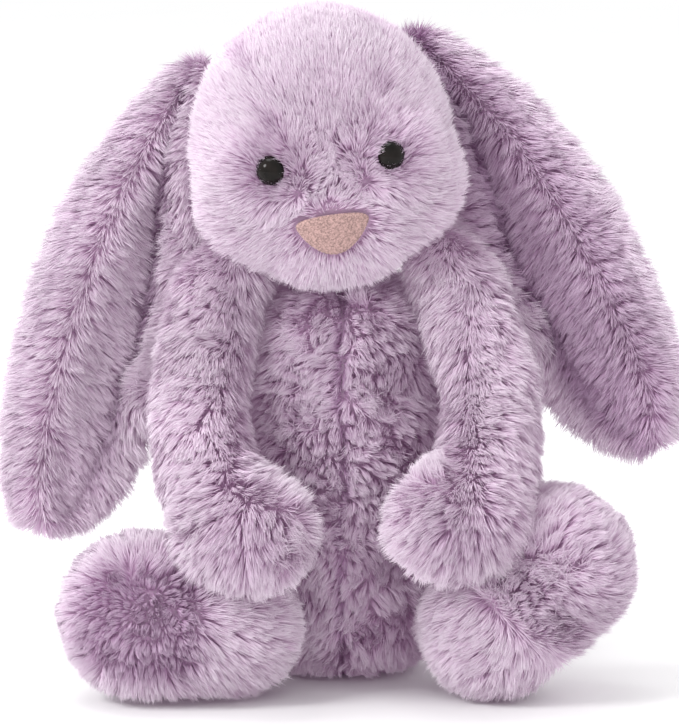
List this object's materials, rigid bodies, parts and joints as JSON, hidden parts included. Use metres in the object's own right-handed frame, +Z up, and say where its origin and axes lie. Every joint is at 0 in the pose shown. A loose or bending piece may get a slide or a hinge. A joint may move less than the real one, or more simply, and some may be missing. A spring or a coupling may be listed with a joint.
{
  "type": "stuffed rabbit toy",
  "caption": "Sitting plush rabbit with long lop ears, a suede nose and bead eyes, stuffed limbs that swing and a pellet-weighted seat.",
  "frame": {"origin": "middle of the bounding box at the floor that the seat rests on", "axes": "+Z up; -Y is the way the face looks; +X is the rabbit's left"},
  "size_m": [0.2208, 0.143, 0.2247],
  "materials": {
    "fur": "matte",
    "nose_suede": "matte",
    "eye_bead": "gloss",
    "washer_plastic": "matte",
    "filling": "matte",
    "pouch_cloth": "matte",
    "pellets": "matte",
    "thread": "matte"
  },
  "bodies": {
    "body": {"body_panel_left": "fur", "body_panel_right": "fur", "body_filling": "filling", "seat_pouch": "pouch_cloth", "seat_pellets": "pellets", "back_closing_seam": "thread", "tail_fur": "fur", "tail_filling": "filling", "tail_seam": "thread", "shoulder_seam_left": "thread", "shoulder_seam_right": "thread", "hip_seam_left": "thread", "hip_seam_right": "thread"},
    "neck": {"neck_gather": "thread"},
    "head": {"head_gusset": "fur", "head_side_left": "fur", "head_side_right": "fur", "head_filling": "filling", "nose_patch": "nose_suede", "eye_left": "eye_bead", "eye_right": "eye_bead", "eye_washer_left": "washer_plastic", "eye_washer_right": "washer_plastic", "ear_seam_left": "thread", "ear_seam_right": "thread"},
    "ear_left": {"ear_back_left": "fur", "ear_front_left": "fur"},
    "ear_right": {"ear_back_right": "fur", "ear_front_right": "fur"},
    "arm_left": {"arm_outer_left": "fur", "arm_inner_left": "fur", "arm_filling_left": "filling"},
    "arm_right": {"arm_outer_right": "fur", "arm_inner_right": "fur", "arm_filling_right": "filling"},
    "leg_left": {"leg_fur_left": "fur", "foot_sole_left": "fur", "leg_filling_left": "filling", "foot_pouch_left": "pellets"},
    "leg_right": {"leg_fur_right": "fur", "foot_sole_right": "fur", "leg_filling_right": "filling", "foot_pouch_right": "pellets"}
  },
  "joints": [
    {"name": "neck_turn", "type": "hinge", "parent": "body", "child": "neck", "pos_m": [-0.0009, 0.0005, 0.1354], "axis": [0, 0, 1], "range_deg": [-12, 12]},
    {"name": "head_nod", "type": "hinge", "parent": "neck", "child": "head", "pos_m": [-0.0009, 0.0005, 0.1354], "axis": [1, 0, 0], "range_deg": [-8, 14]},
    {"name": "ear_lift_left", "type": "hinge", "parent": "head", "child": "ear_left", "pos_m": [0.02666, 0.02283, 0.21521], "axis": [0, -1, 0], "range_deg": [0, 95]},
    {"name": "ear_lift_right", "type": "hinge", "parent": "head", "child": "ear_right", "pos_m": [-0.04859, 0.01757, 0.20595], "axis": [0, 1, 0], "range_deg": [0, 95]},
    {"name": "shoulder_swing_left", "type": "hinge", "parent": "body", "child": "arm_left", "pos_m": [0.0401, -0.0095, 0.133], "axis": [-1, 0, 0], "range_deg": [0, 75]},
    {"name": "shoulder_swing_right", "type": "hinge", "parent": "body", "child": "arm_right", "pos_m": [-0.0409, -0.0095, 0.131], "axis": [-1, 0, 0], "range_deg": [0, 75]},
    {"name": "hip_swing_left", "type": "hinge", "parent": "body", "child": "leg_left", "pos_m": [0.0435, -0.0289, 0.023], "axis": [1, 0, 0], "range_deg": [0, 70]},
    {"name": "hip_swing_right", "type": "hinge", "parent": "body", "child": "leg_right", "pos_m": [-0.0423, -0.0295, 0.022], "axis": [1, 0, 0], "range_deg": [0, 70]}
  ]
}
